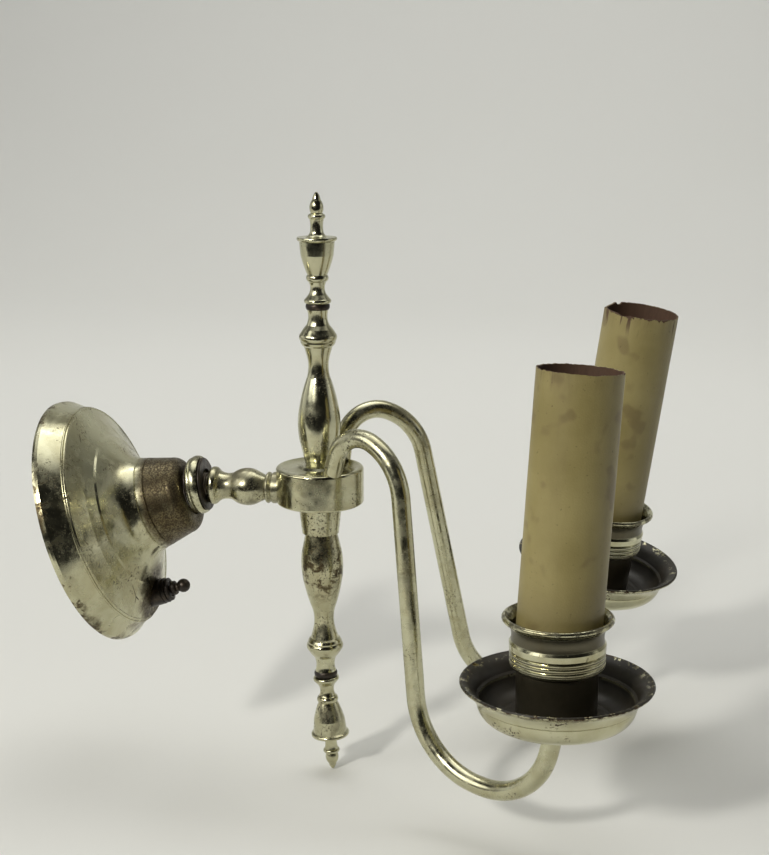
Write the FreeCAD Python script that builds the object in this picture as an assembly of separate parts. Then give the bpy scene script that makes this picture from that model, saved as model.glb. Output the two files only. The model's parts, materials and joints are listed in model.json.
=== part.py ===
"""Two-arm electric wall sconce: wall crossbar and stem, drum hub, turned spindle,
two S-curved arms with drip pans, candle cups, lamp holders and paper sleeves, and
a loose bell canopy with a turn switch.

Millimetres. +Z runs up the spindle, the wall is the plane Y = 0, the sconce stands
out towards -Y, and the origin is on the stem's axis at the back of the crossbar.
"""
import FreeCAD, Part
import math
import os

V = FreeCAD.Vector

# Stem and wall fixing
HUB_REACH = 101.5           # wall plane to the spindle's axis
HUB_RISE = 2.3              # hub's middle above the stem's axis
BAR_HALF_LENGTH = 43.0
BAR_WIDTH = 19.0
BAR_THICK = 2.0
BAR_SLOT_SPACING = 66.0     # between the middles of the two slots
BAR_SLOT_LENGTH = 14.0      # end to end
BAR_SLOT_WIDTH = 5.0
NIPPLE_R = 5.1              # 1/8 IP threaded tube
NIPPLE_BORE = 3.6
NIPPLE_TAIL = 6.0           # stands out behind the crossbar
LOCKNUT_FLATS = 14.0
LOCKNUT_THICK = 2.5
GROUND_SCREW_X = 17.0
GROUND_SCREW_R = 2.0
GROUND_HEAD_R = 4.0
GROUND_HEAD_THICK = 2.4
STEM_START = 55.0           # wall plane to the back of the stem's first bead
STEM_RING_R = 6.5
STEM_RING_THICK = 4.2
STEM_BORE = 2.6
STEM_SPIGOT_R = 3.8
STEM_THREAD = 3.4           # nipple's depth in the stem

# Canopy
CANOPY_R = 51.9
CANOPY_DEPTH = 45.4         # rim plane to the end of the neck
CANOPY_NECK_R = 10.7        # at the end of the neck
CANOPY_WALL = 0.9
CANOPY_HOLE_R = 9.6
CANOPY_DROOP = 17.8         # degrees that the loose canopy hangs below square
CANOPY_PIVOT_REACH = 56.83  # droop's centre, from the wall plane
CANOPY_PIVOT_RISE = 2.22    # droop's centre, above the stem's axis
SWITCH_INSET = 14.1         # canopy's edge to the switch's axis, straight down
SWITCH_R = 5.0
SWITCH_BACK = 0.5           # back of the switch, from the rim plane
SWITCH_LENGTH = 10.2
BUSH_R = 3.3                # switch's threaded neck
BUSH_FRONT = 21.8
NUT_R = 5.5
NUT_BACK = 11.5             # before the nut is cut to the bell
NUT_STEP = 18.7             # nut's first step, from the rim plane
KNOB_SHAFT_R = 1.5
KNOB_SHAFT_GAP = 0.05
KNOB_CLEAR = 1.0            # bush's front to the knob's collar
KNOB_SHAFT_BACK = 6.9
KNOB_COLLAR_R = 3.1
KNOB_NECK_R = 1.8
KNOB_BALL_R = 2.9
KNOB_BALL_FRONT = 28.1      # ball's middle, from the rim plane

# Lock ring between canopy and stem
RING_CENTRE = 49.8          # wall plane to the ring's middle
RING_R = 12.2
RING_THICK = 5.2
RING_SLACK = 1.3            # ring's bore over the nipple
RING_TILT = 9.0             # degrees, it hangs slack against the canopy
RING_WASHER_THICK = 1.3
REAR_WASHER_R = 9.6
FRONT_WASHER_R = 11.0

# Hub drum and spindle
HUB_R = 18.1
HUB_HEIGHT = 15.2
HUB_WALL = 2.6
HUB_TOP_THICK = 6.2
HUB_COVER_THICK = 1.4
HUB_FOOT_R = 8.2            # raised seat under the upper baluster
HUB_FOOT_RISE = 0.8
HUB_CORE_R = 4.0
ROD_R = 1.8
SPINDLE_BORE = 1.85
COLLAR_TOP_R = 9.1
COLLAR_FOOT_R = 7.65
COLLAR_LENGTH = 13.0
COLLAR_WALL = 0.7
COLLAR_BORE = 2.2
COLLAR_LAP = 3.5            # the lower baluster stands this deep in the collar
LOWER_LEAN = 1.15           # degrees, lower baluster towards the front
TIP_LEAN = 3.5              # degrees, lower urn and finial towards the front
BALUSTER_LENGTH = 64.1
CHECK_RING_THICK = 2.6
CHECK_RING_R = 4.9
URN_LENGTH = 26.4
FINIAL_LENGTHS = {"upper": 17.9, "lower": 15.9}    # the lower point is the blunter
FINIAL_THREAD = 6.0         # rod's depth in each finial
SEAT_SLACK = 0.22           # gap that the lean opens at each seat of the lower half

# Arms
ARM_R = 3.75
ARM_WALL = 0.8
ARM_START_X = 11.5          # arm hole in the hub's cover, from the spindle's axis
ARM_START_Y = -6.4
ARM_THREAD = 5.2            # arm's depth in the hub
LEAD_R = 0.85
LEAD_OFFSET = 1.25          # each lead's place beside the stem's axis
LEAD_TURN = 11.0            # spindle's axis to where the leads part in the hub
# Bends of each arm: distance out from its hole towards its pan, height from the
# hub's middle, and bend radius; then the pan's middle, and its leans in degrees.
ARMS = {
    "left": {
        "side": -1,
        "bends": ((7.5, 29.0, 14.0), (35.5, 18.2, 24.0), (47.0, -104.0, 32.0), (102.0, -106.3, 30.0)),
        "pan": (-67.6, -101.4, -53.0),
        "pan_lean": (1.2, 0.3),
        "candle_lean": (3.85, -3.1),
    },
    "right": {
        "side": 1,
        "bends": ((4.0, 34.0, 14.0), (34.0, 22.0, 26.0), (60.0, -100.0, 32.0), (113.0, -103.0, 30.0)),
        "pan": (67.6, -113.7, -47.6),
        "pan_lean": (-4.7, -7.9),
        "candle_lean": (-3.35, -7.75),
    },
}

# Drip pan, cup, lamp holder and sleeve; heights are from the pan's rim
PAN_R = 35.6
PAN_BOWL_R = 29.6
PAN_FOOT_R = 21.5
PAN_DEPTH = 15.2
PAN_WALL = 0.9
COUPLING_R = 6.2
COUPLING_LENGTH = 5.5
COUPLING_BORE = 2.6
NIPPLE_LAP = 1.4            # cup nipple's depth in the coupling
ARM_END_DROP = 1.5          # pan's foot down to the arm's end
CUP_NIPPLE_R = 5.1
CUP_NIPPLE_BORE = 3.6
CUP_THROAT_GAP = 0.35       # sleeve to cup at the cup's floor
CUP_MOUTH_GAP = 1.05        # the same near the lip, where a leaning sleeve needs it
CUP_BAND_THICK = 1.375      # raised bands over the throat
CUP_LIP_WIDTH = 3.975       # lip's edge over the throat
CUP_LIP_HEIGHT = 25.4
CUP_FOOT_STEP = 1.2         # plain foot under the throat
CUP_WALL = 1.0
CUP_FLOOR_HEIGHT = 12.6
SLEEVE_R = 15.875           # 1 1/4 inch candle cover
SLEEVE_WALL = 0.9
SLEEVE_LENGTH = 101.6       # 4 inches
SLEEVE_GAP = 0.1
SOCKET_GAP = 0.575          # lamp holder to the sleeve's inside
SOCKET_LENGTH = 44.0
SOCKET_BELOW_TOP = 10.0     # lamp holder's mouth below the sleeve's top
SHELL_OUTER_R = 13.75
SHELL_BORE = 13.3           # medium screw base
SHELL_LENGTH = 24.0
STRAP_WIDTH = 9.0
STRAP_THICK = 1.2
STRAP_OFFSET = 10.5         # strap's upright, from the candle's axis
STRAP_FOOT_R = 7.6
SOCKET_FLOOR = 8.0
CONTACT_R = 4.0
CONTACT_STEM_R = 2.2
CONTACT_THICK = 0.8

RING_BORE = NIPPLE_R + RING_SLACK
SOCKET_R = SLEEVE_R - SLEEVE_WALL - SOCKET_GAP
HUB_MIDDLE = V(0, -HUB_REACH, HUB_RISE)
HUB_TOP = HUB_RISE + HUB_HEIGHT / 2
HUB_BOTTOM = HUB_RISE - HUB_HEIGHT / 2
Z_AXIS = V(0, 0, 1)


def save(name, shape):
    """Write one node's STEP file."""
    shape.exportStep("parts/%s.step" % name)


def placed(shape, origin, direction):
    """Move a shape built along +Z so that it starts at origin and runs along direction."""
    copy = shape.copy()
    copy.Placement = FreeCAD.Placement(origin, FreeCAD.Rotation(Z_AXIS, direction)) * copy.Placement
    return copy


def leaned(lean_x, lean_y):
    """Unit vector that leans from +Z by two angles in degrees."""
    vector = V(math.tan(math.radians(lean_x)), math.tan(math.radians(lean_y)), 1)
    return vector.normalize()


def outline_edges(points):
    """Edges through (radius, height) points; a four-number entry is an arc: mid, then end."""
    edges = []
    start = V(points[0][0], 0, points[0][1])
    for entry in points[1:]:
        end = V(entry[-2], 0, entry[-1])
        if len(entry) == 4:
            edges.append(Part.Arc(start, V(entry[0], 0, entry[1]), end).toShape())
        else:
            edges.append(Part.LineSegment(start, end).toShape())
        start = end
    return edges


def turned(points):
    """Solid of revolution about Z; the outline is closed by a line if it's open."""
    closing = [] if points[-1][-2:] == points[0][-2:] else [points[0][-2:]]
    face = Part.Face(Part.Wire(outline_edges(list(points) + closing)))
    return face.revolve(V(0, 0, 0), Z_AXIS, 360)


def at_length(points, length):
    """Outline whose heights are written as fractions of a length."""
    return [tuple(v * length if k % 2 else v for k, v in enumerate(entry)) for entry in points]


def turned_with_bore(points, bore):
    """Turned piece whose outline starts and ends on the bore."""
    first = (bore, points[0][-1])
    last = (bore, points[-1][-1])
    return turned([first] + list(points) + [last])


def tube(outer, bore, length, base=0.0):
    """Round tube along Z."""
    return turned([(bore, base), (outer, base), (outer, base + length), (bore, base + length)])


def hex_nut(flats, thick, bore):
    """Hexagon nut along Z."""
    radius = flats / math.sqrt(3)
    corners = [V(radius * math.cos(math.radians(a)), radius * math.sin(math.radians(a)), 0)
               for a in range(0, 420, 60)]
    nut = Part.Face(Part.makePolygon(corners)).extrude(V(0, 0, thick))
    return nut.cut(Part.makeCylinder(bore, thick))


def bent_path(points, radii):
    """Wire of straight runs joined by tangent arcs."""
    edges = []
    start = points[0]
    for before, corner, after, radius in zip(points, points[1:], points[2:], radii):
        back = (before - corner).normalize()
        ahead = (after - corner).normalize()
        half = back.getAngle(ahead) / 2
        run_off = radius / math.tan(half)
        into = corner + back * run_off
        out = corner + ahead * run_off
        middle = corner + (back + ahead).normalize() * (radius / math.sin(half) - radius)
        edges.append(Part.LineSegment(start, into).toShape())
        edges.append(Part.Arc(into, middle, out).toShape())
        start = out
    edges.append(Part.LineSegment(start, points[-1]).toShape())
    return Part.Wire(edges)


def swept(path, radius):
    """Round bar along a path."""
    start = path.Edges[0].valueAt(path.Edges[0].FirstParameter)
    heading = path.Edges[0].tangentAt(path.Edges[0].FirstParameter)
    ring = Part.Wire(Part.Circle(start, heading, radius).toShape())
    return path.makePipeShell([ring], True, True)


# ---------------------------------------------------------------- wall fixing and stem

def along_stem(shape, distance=0.0):
    """Turn a piece built along +Z to run out from the wall along the stem."""
    return placed(shape, V(0, -distance, 0), V(0, -1, 0))


def wall_crossbar():
    """Flat bar with round ends, two slots for the box screws and a centre hole."""
    straight = BAR_HALF_LENGTH - BAR_WIDTH / 2
    bar = Part.makeBox(2 * straight, BAR_WIDTH, BAR_THICK, V(-straight, -BAR_WIDTH / 2, 0))
    half_slot = (BAR_SLOT_LENGTH - BAR_SLOT_WIDTH) / 2
    slots = []
    for side in (-1, 1):
        bar = bar.fuse(Part.makeCylinder(BAR_WIDTH / 2, BAR_THICK, V(side * straight, 0, 0)))
        middle = side * BAR_SLOT_SPACING / 2
        slots.append(Part.makeBox(2 * half_slot, BAR_SLOT_WIDTH, BAR_THICK,
                                  V(middle - half_slot, -BAR_SLOT_WIDTH / 2, 0)))
        for end in (-1, 1):
            slots.append(Part.makeCylinder(BAR_SLOT_WIDTH / 2, BAR_THICK, V(middle + end * half_slot, 0, 0)))
    centre = Part.makeCylinder(NIPPLE_R, BAR_THICK)
    screw_hole = Part.makeCylinder(GROUND_SCREW_R, BAR_THICK, V(GROUND_SCREW_X, 0, 0))
    return along_stem(bar.cut(slots + [centre, screw_hole]).removeSplitter())


def ground_screw():
    """Slotted earth screw in the crossbar, head towards the room."""
    tail = BAR_THICK + 1.5
    shank = Part.makeCylinder(GROUND_SCREW_R, BAR_THICK + tail, V(GROUND_SCREW_X, 0, -tail))
    head = Part.makeCylinder(GROUND_HEAD_R, GROUND_HEAD_THICK, V(GROUND_SCREW_X, 0, BAR_THICK))
    slot_depth = GROUND_HEAD_THICK / 2
    slot = Part.makeBox(2 * GROUND_HEAD_R, 1.0, slot_depth,
                        V(GROUND_SCREW_X - GROUND_HEAD_R, -0.5, BAR_THICK + GROUND_HEAD_THICK - slot_depth))
    return along_stem(shank.fuse(head).cut(slot).removeSplitter())


def stem_nipple():
    """Threaded tube from behind the crossbar into the stem."""
    length = NIPPLE_TAIL + STEM_START + STEM_THREAD
    return along_stem(tube(NIPPLE_R, NIPPLE_BORE, length, -NIPPLE_TAIL))


def nipple_locknut():
    """Locknut that holds the nipple in the crossbar's tapped hole."""
    return along_stem(hex_nut(LOCKNUT_FLATS, LOCKNUT_THICK, NIPPLE_R), BAR_THICK)


def stem_baluster():
    """Turned stem: bead, waist, bulb and ring, saddled to the hub, with a threaded spigot."""
    reach = HUB_REACH - STEM_START
    ring_back = reach - HUB_R - STEM_RING_THICK
    ring_r = STEM_RING_R
    outline = at_length([
        (6.9, 0), (7.9, 0.079, 6.9, 0.149), (6.2, 0.182), (5.4, 0.298, 5.8, 0.413),
        (7.75, 0.698, 6.4, 0.864), (4.8, 1)], ring_back)
    outline += [
        (ring_r - 0.4, ring_back),
        (ring_r, ring_back + 0.7, ring_r - 0.4, ring_back + 1.4),
        (ring_r - 0.7, ring_back + 1.9),
        (ring_r, ring_back + 2.8),
        (ring_r, reach - HUB_R / 2),
    ]
    body = turned_with_bore(outline, STEM_BORE)
    drum = Part.makeCylinder(HUB_R, 4 * ring_r, V(0, -2 * ring_r, reach), V(0, 1, 0))
    cavity = Part.makeCylinder(HUB_R - HUB_WALL, 4 * ring_r, V(0, -2 * ring_r, reach), V(0, 1, 0))
    spigot = tube(STEM_SPIGOT_R, STEM_BORE, HUB_R, ring_back)
    body = body.cut(drum).fuse(spigot).cut(cavity)
    body = body.cut(Part.makeCylinder(NIPPLE_R, STEM_THREAD))
    return along_stem(body.removeSplitter(), STEM_START)


# ---------------------------------------------------------------- canopy and switch

CANOPY_PIVOT = V(0, -CANOPY_PIVOT_REACH, CANOPY_PIVOT_RISE)


def drooped(shape):
    """Hang a piece of the square canopy down to its rest angle."""
    copy = shape.copy()
    copy.rotate(CANOPY_PIVOT, V(1, 0, 0), -CANOPY_DROOP)
    return copy


def canopy_outline(wall):
    """Bell's outline from rim to neck, moved in by a wall."""
    rim = CANOPY_R - wall
    neck = CANOPY_NECK_R - wall
    end = CANOPY_DEPTH - wall
    z = -wall
    return [
        (rim, z + 1.0),
        (rim - 0.2, z + 2.2),
        (rim - 2.4, z + 5.2, rim - 4.4, z + 8.7),
        (rim - 5.0, z + 9.8),
        (rim - 4.8, z + 10.25, rim - 5.4, z + 10.6),
        (rim - 5.4, z + 11.0, rim - 6.4, z + 11.4),
        (rim - 9.5, z + 12.65, rim - 14.3, z + 14.9),
        (rim - 16.7, z + 15.95, rim - 19.2, z + 17.15),
        (rim - 20.0, z + 17.8),
        (rim - 24.5, z + 20.0, neck + 13.7, z + 21.9),
        (neck + 11.3, z + 23.9, neck + 9.5, z + 26.5),
        (neck + 8.9, z + 28.1),
        (neck + 8.5, z + 28.4),
        (neck + 8.7, z + 28.8),
        (neck + 8.1, z + 31.5),
        (neck + 7.7, z + 31.8),
        (neck + 7.9, z + 32.2),
        (neck + 5.6, end - 4.6),
        (neck + 4.0, end - 1.3, neck, end),
    ]


def canopy_solid(wall):
    """Filled bell, moved in by a wall; wall 0 is the outside."""
    return turned([(0, 0), (CANOPY_R - wall, 0)] + canopy_outline(wall) + [(0, CANOPY_DEPTH - wall)])


def at_switch(shape):
    """Move a piece from the canopy's axis to the switch's axis."""
    return shape.translated(V(0, SWITCH_INSET - CANOPY_R, 0))


def canopy_shell():
    """Spun bell: flared band, double bead, coned face with a cove, and a tapered neck."""
    neck_hole = Part.makeCylinder(CANOPY_HOLE_R, CANOPY_DEPTH + 1)
    bush_hole = at_switch(Part.makeCylinder(BUSH_R, CANOPY_DEPTH))
    shell = canopy_solid(0).cut([canopy_solid(CANOPY_WALL), neck_hole, bush_hole])
    return drooped(along_stem(shell))


def on_switch_axis(shape):
    """Put a piece built along +Z on the switch's axis of the hanging canopy."""
    return drooped(along_stem(at_switch(shape)))


def switch_body():
    """Round turn switch with its threaded neck and two terminal tails."""
    front = SWITCH_BACK + SWITCH_LENGTH
    body = turned([
        (0, SWITCH_BACK), (SWITCH_R - 0.8, SWITCH_BACK), (SWITCH_R, SWITCH_BACK + 0.8),
        (SWITCH_R, front - 0.8), (SWITCH_R - 0.8, front), (BUSH_R, front), (BUSH_R, BUSH_FRONT),
        (0, BUSH_FRONT)])
    bore = Part.makeCylinder(KNOB_SHAFT_R + KNOB_SHAFT_GAP, BUSH_FRONT, V(0, 0, KNOB_SHAFT_BACK - 0.3))
    return on_switch_axis(body.cut(bore))


def switch_nut():
    """Stepped ribbed nut that clamps the switch to the bell, seated on its face."""
    outline = [
        (NUT_R, NUT_BACK), (NUT_R, NUT_STEP), (NUT_R - 0.5, NUT_STEP + 0.3), (NUT_R - 0.5, NUT_STEP + 0.7),
        (NUT_R - 0.2, NUT_STEP + 1.0), (NUT_R - 0.2, NUT_STEP + 1.8), (NUT_R - 0.9, NUT_STEP + 2.1),
        (NUT_R - 0.9, NUT_STEP + 2.4), (NUT_R - 0.6, NUT_STEP + 2.6), (NUT_R - 0.6, NUT_STEP + 3.4),
        (NUT_R - 1.6, NUT_STEP + 3.7)]
    nut = turned_with_bore(outline, BUSH_R)
    return drooped(along_stem(at_switch(nut).cut(canopy_solid(0))))


def switch_knob():
    """Turn shaft with a collar, a neck and a ball end."""
    collar = BUSH_FRONT + KNOB_CLEAR
    neck_end = KNOB_BALL_FRONT - math.sqrt(KNOB_BALL_R ** 2 - KNOB_NECK_R ** 2)
    outline = [
        (0, KNOB_SHAFT_BACK), (KNOB_SHAFT_R, KNOB_SHAFT_BACK), (KNOB_SHAFT_R, collar),
        (KNOB_COLLAR_R - 0.3, collar), (KNOB_COLLAR_R, collar + 1.0, KNOB_COLLAR_R - 0.3, collar + 2.0),
        (KNOB_NECK_R, collar + 2.4), (KNOB_NECK_R, neck_end),
        (KNOB_BALL_R, KNOB_BALL_FRONT, 0, KNOB_BALL_FRONT + KNOB_BALL_R)]
    return on_switch_axis(turned(outline))


# ---------------------------------------------------------------- lock ring

def tilted_ring(shape):
    """Put a ring piece, built about its middle, on the stem at its slack tilt."""
    ring = along_stem(shape, RING_CENTRE)
    ring.rotate(V(0, -RING_CENTRE, 0), V(1, 0, 0), -RING_TILT)
    return ring


def canopy_lock_ring():
    """Bright bead ring with a threaded bore."""
    half = RING_THICK / 2
    outline = [
        (RING_R - 3.4, -half), (RING_R - 2.4, -half), (RING_R - 0.9, -half + 0.6, RING_R - 0.7, -half + 1.6),
        (RING_R - 0.5, -half + 1.7), (RING_R, 0.6, RING_R - 0.6, half), (RING_R - 3.4, half)]
    return tilted_ring(turned_with_bore(outline, RING_BORE))


def ring_washer(radius, base):
    """Dark dished washer beside the bead ring."""
    outline = [
        (radius - 0.6, base), (radius, base + RING_WASHER_THICK / 2, radius - 0.6, base + RING_WASHER_THICK)]
    return turned_with_bore(outline, RING_BORE)


def lock_ring_washers():
    """Washer behind and washer ahead of the bead ring."""
    rear = ring_washer(REAR_WASHER_R, -RING_THICK / 2 - RING_WASHER_THICK)
    front = ring_washer(FRONT_WASHER_R, RING_THICK / 2)
    return tilted_ring(Part.makeCompound([rear, front]))


# ---------------------------------------------------------------- hub and spindle

def hub_body():
    """Drum with a rounded top edge, dished top, raised foot, wiring space and arm holes."""
    half = HUB_HEIGHT / 2
    roof = half - HUB_TOP_THICK
    floor = -half + HUB_COVER_THICK
    outline = [
        (HUB_R - HUB_WALL, floor), (HUB_R, floor), (HUB_R, half - 1.3),
        (HUB_R - 0.4, half - 0.35, HUB_R - 1.3, half),
        (HUB_R - 1.9, half), (HUB_R - 5.5, half - 0.75, HUB_FOOT_R + 0.9, half - 0.2),
        (HUB_FOOT_R, half + HUB_FOOT_RISE), (ROD_R, half + HUB_FOOT_RISE), (ROD_R, floor),
        (HUB_CORE_R, floor), (HUB_CORE_R, roof),
        (HUB_R - HUB_WALL, roof)]
    drum = turned(outline).translated(HUB_MIDDLE)
    holes = [swept(arm_route(arm), ARM_R) for arm in ARMS.values()]
    holes.append(Part.makeCylinder(STEM_SPIGOT_R, 2 * HUB_WALL, V(0, HUB_R - HUB_REACH, 0), V(0, -1, 0)))
    wireways = [Part.makeCylinder(ARM_R - ARM_WALL, HUB_TOP_THICK, arm_foot(arm) - V(0, 0, HUB_TOP_THICK / 2))
                for arm in ARMS.values()]
    return drum.cut(holes + wireways)


def hub_bottom_cover():
    """Plate that closes the hub from below."""
    half = HUB_HEIGHT / 2
    outline = [
        (HUB_R - 1.0, -half), (HUB_R - 0.3, -half + 0.3, HUB_R, -half + 1.0),
        (HUB_R, -half + HUB_COVER_THICK)]
    return turned_with_bore(outline, ROD_R).translated(HUB_MIDDLE)


def spindle_frame(name):
    """Start point and heading of the upper or lower half of the spindle."""
    if name == "upper":
        return V(0, -HUB_REACH, HUB_TOP + HUB_FOOT_RISE), V(0, 0, 1)
    lean = math.radians(LOWER_LEAN)
    heading = V(0, -math.sin(lean), -math.cos(lean))
    return V(0, -HUB_REACH, HUB_BOTTOM) + heading * (COLLAR_LENGTH - COLLAR_LAP + SEAT_SLACK), heading


def tip_frame(name):
    """Start point and heading of the urn and finial at that end."""
    start, heading = spindle_frame(name)
    seat = start + heading * (BALUSTER_LENGTH + CHECK_RING_THICK)
    if name == "upper":
        return seat, heading
    lean = math.radians(TIP_LEAN)
    return seat + heading * SEAT_SLACK, V(0, -math.sin(lean), -math.cos(lean))


def baluster(name):
    """Vase, waist and ring: the long turned piece of the spindle."""
    outline = [
        (5.7, 0), (7.1, 0.09, 8.3, 0.175), (8.75, 0.265, 7.9, 0.39), (6.6, 0.479, 4.7, 0.571),
        (4.15, 0.633, 5.1, 0.729), (5.8, 0.766), (6.6, 0.777), (7.1, 0.793), (7.1, 0.802),
        (7.7, 0.822, 7.2, 0.849), (6.0, 0.878), (4.7, 0.902), (3.9, 0.95, 4.4, 1)]
    body = turned_with_bore(at_length(outline, BALUSTER_LENGTH), SPINDLE_BORE)
    return placed(body, *spindle_frame(name))


def check_ring(name):
    """Blackened ring between baluster and urn."""
    start, heading = spindle_frame(name)
    edge = CHECK_RING_R - 0.5
    outline = [(edge, 0), (CHECK_RING_R, CHECK_RING_THICK / 2, edge, CHECK_RING_THICK)]
    ring = turned_with_bore(outline, SPINDLE_BORE)
    return placed(ring, start + heading * BALUSTER_LENGTH, heading)


def urn(name):
    """Rim, neck, bead, urn and thin flange."""
    outline = [
        (5.0, 0), (5.5, 0.034, 5.0, 0.068), (3.7, 0.129), (2.95, 0.212, 3.6, 0.326), (4.5, 0.375, 4.0, 0.432),
        (5.4, 0.568, 6.6, 0.727), (6.9, 0.841, 7.1, 0.936), (7.9, 0.955), (8.1, 0.973, 7.9, 1)]
    body = turned_with_bore(at_length(outline, URN_LENGTH), SPINDLE_BORE)
    return placed(body, *tip_frame(name))


def finial(name):
    """Trumpet foot, bead and acorn point, blind-bored for the rod."""
    outline = [
        (0, 0), (4.7, 0), (3.2, 0.06, 2.6, 0.16), (2.55, 0.28, 2.9, 0.4), (3.5, 0.46, 2.9, 0.51),
        (2.35, 0.53), (2.75, 0.68, 1.7, 0.82), (1.1, 0.93, 0.5, 0.985), (0, 1)]
    body = turned(at_length(outline, FINIAL_LENGTHS[name])).cut(Part.makeCylinder(ROD_R, FINIAL_THREAD))
    start, heading = tip_frame(name)
    return placed(body, start + heading * URN_LENGTH, heading)


def lower_collar():
    """Conical cup under the hub that the lower baluster stands in."""
    outline = [
        (COLLAR_TOP_R, 0), (COLLAR_FOOT_R, COLLAR_LENGTH), (COLLAR_FOOT_R - COLLAR_WALL, COLLAR_LENGTH),
        (COLLAR_FOOT_R - COLLAR_WALL, COLLAR_LENGTH - COLLAR_LAP), (COLLAR_BORE, COLLAR_LENGTH - COLLAR_LAP),
        (COLLAR_BORE, 0)]
    return placed(turned(outline), V(0, -HUB_REACH, HUB_BOTTOM), V(0, 0, -1))


def spindle_rod(name):
    """Threaded rod from the hub through one half of the spindle into its finial."""
    seat, heading = tip_frame(name)
    end = seat + heading * (URN_LENGTH + FINIAL_THREAD)
    rise = HUB_TOP if name == "upper" else HUB_BOTTOM
    bends = [HUB_MIDDLE, V(0, -HUB_REACH, rise), seat, end]
    pieces = [Part.makeSphere(ROD_R, bend) for bend in bends[1:3]]
    for start, stop in zip(bends, bends[1:]):
        pieces.append(Part.makeCylinder(ROD_R, (stop - start).Length, start, stop - start))
    return pieces[0].fuse(pieces[1:]).removeSplitter()


# ---------------------------------------------------------------- arms

def arm_foot(arm):
    """Bottom end of an arm, in the hub."""
    return HUB_MIDDLE + V(arm["side"] * ARM_START_X, ARM_START_Y, HUB_HEIGHT / 2 - ARM_THREAD)


def pan_frame(arm):
    """Middle of the pan's rim plane and the pan's axis."""
    return HUB_MIDDLE + V(*arm["pan"]), leaned(*arm["pan_lean"])


def candle_frame(arm):
    """Middle of the cup's floor and the candle's axis."""
    middle, axis = pan_frame(arm)
    return middle + axis * CUP_FLOOR_HEIGHT, leaned(*arm["candle_lean"])


def arm_points(arm):
    """Corners of an arm's route from the hub to the coupling."""
    foot = arm_foot(arm)
    middle, axis = pan_frame(arm)
    out = V(middle.x - foot.x, middle.y - foot.y, 0).normalize()
    level = HUB_RISE - foot.z
    corners = [foot + out * reach + V(0, 0, height + level) for reach, height, radius in arm["bends"]]
    return [foot] + corners + [middle - axis * (PAN_DEPTH + ARM_END_DROP)]


def arm_route(arm):
    """Wire along the middle of an arm."""
    return bent_path(arm_points(arm), [bend[2] for bend in arm["bends"]])


def arm_tube(arm):
    """Hollow S-curved arm."""
    route = arm_route(arm)
    return swept(route, ARM_R).cut(swept(route, ARM_R - ARM_WALL))


def arm_coupling(arm):
    """Round coupling on the arm's end, under the pan."""
    middle, axis = pan_frame(arm)
    outline = [
        (COUPLING_R - 1.2, -PAN_DEPTH - COUPLING_LENGTH), (COUPLING_R, -PAN_DEPTH - COUPLING_LENGTH + 1.2),
        (COUPLING_R, -PAN_DEPTH)]
    coupling = placed(turned_with_bore(outline, COUPLING_BORE), middle, axis)
    nipple = Part.makeCylinder(CUP_NIPPLE_R, PAN_DEPTH, middle - axis * (PAN_DEPTH + NIPPLE_LAP), axis)
    return coupling.cut([swept(arm_route(arm), ARM_R), nipple])


def lead(arm):
    """Insulated lead from the nipple's tail through stem, hub and arm to the lamp holder."""
    side = arm["side"] * LEAD_OFFSET
    foot = arm_foot(arm)
    points = arm_points(arm)
    cup_middle, cup_axis = pan_frame(arm)
    floor, axis = candle_frame(arm)
    before = [V(side, NIPPLE_TAIL, 0), V(side, LEAD_TURN - HUB_REACH, 0), V(foot.x, foot.y, 0)]
    after = [cup_middle - cup_axis * (PAN_DEPTH + 4.0), floor + cup_axis * 8.0, socket_base(arm) - axis * 0.5]
    radii = [3.0, 2.8] + [bend[2] for bend in arm["bends"]] + [14.0, 14.0]
    return swept(bent_path(before + points[1:-1] + after, radii), LEAD_R)


# ---------------------------------------------------------------- pan, cup, lamp holder, sleeve

def pan(arm):
    """Spun drip pan: flared rim over a rounded bowl with a flat foot."""
    rise = PAN_WALL
    lower = [
        (PAN_R, -0.9), (PAN_R - 3.0, -2.9, PAN_BOWL_R + 0.8, -6.6), (PAN_BOWL_R, -7.4),
        (PAN_BOWL_R - 1.9, -12.4, PAN_FOOT_R, -PAN_DEPTH + 0.3), (PAN_FOOT_R - 1.5, -PAN_DEPTH),
        (CUP_NIPPLE_R, -PAN_DEPTH)]
    upper = [
        (CUP_NIPPLE_R, -PAN_DEPTH + rise), (PAN_FOOT_R - 1.5 - rise, -PAN_DEPTH + rise),
        (PAN_FOOT_R - rise, -PAN_DEPTH + 0.3 + rise), (PAN_BOWL_R - 1.9 - rise, -12.4 + rise,
                                                      PAN_BOWL_R - rise, -7.4 + rise),
        (PAN_BOWL_R + 0.8 - rise, -6.6 + rise), (PAN_R - 3.0 - rise, -2.9 + rise, PAN_R - rise, 0)]
    rim = [(PAN_R - 0.1, 0.1, PAN_R, -0.9)]
    return placed(turned(lower + upper + rim), *pan_frame(arm))


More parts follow.
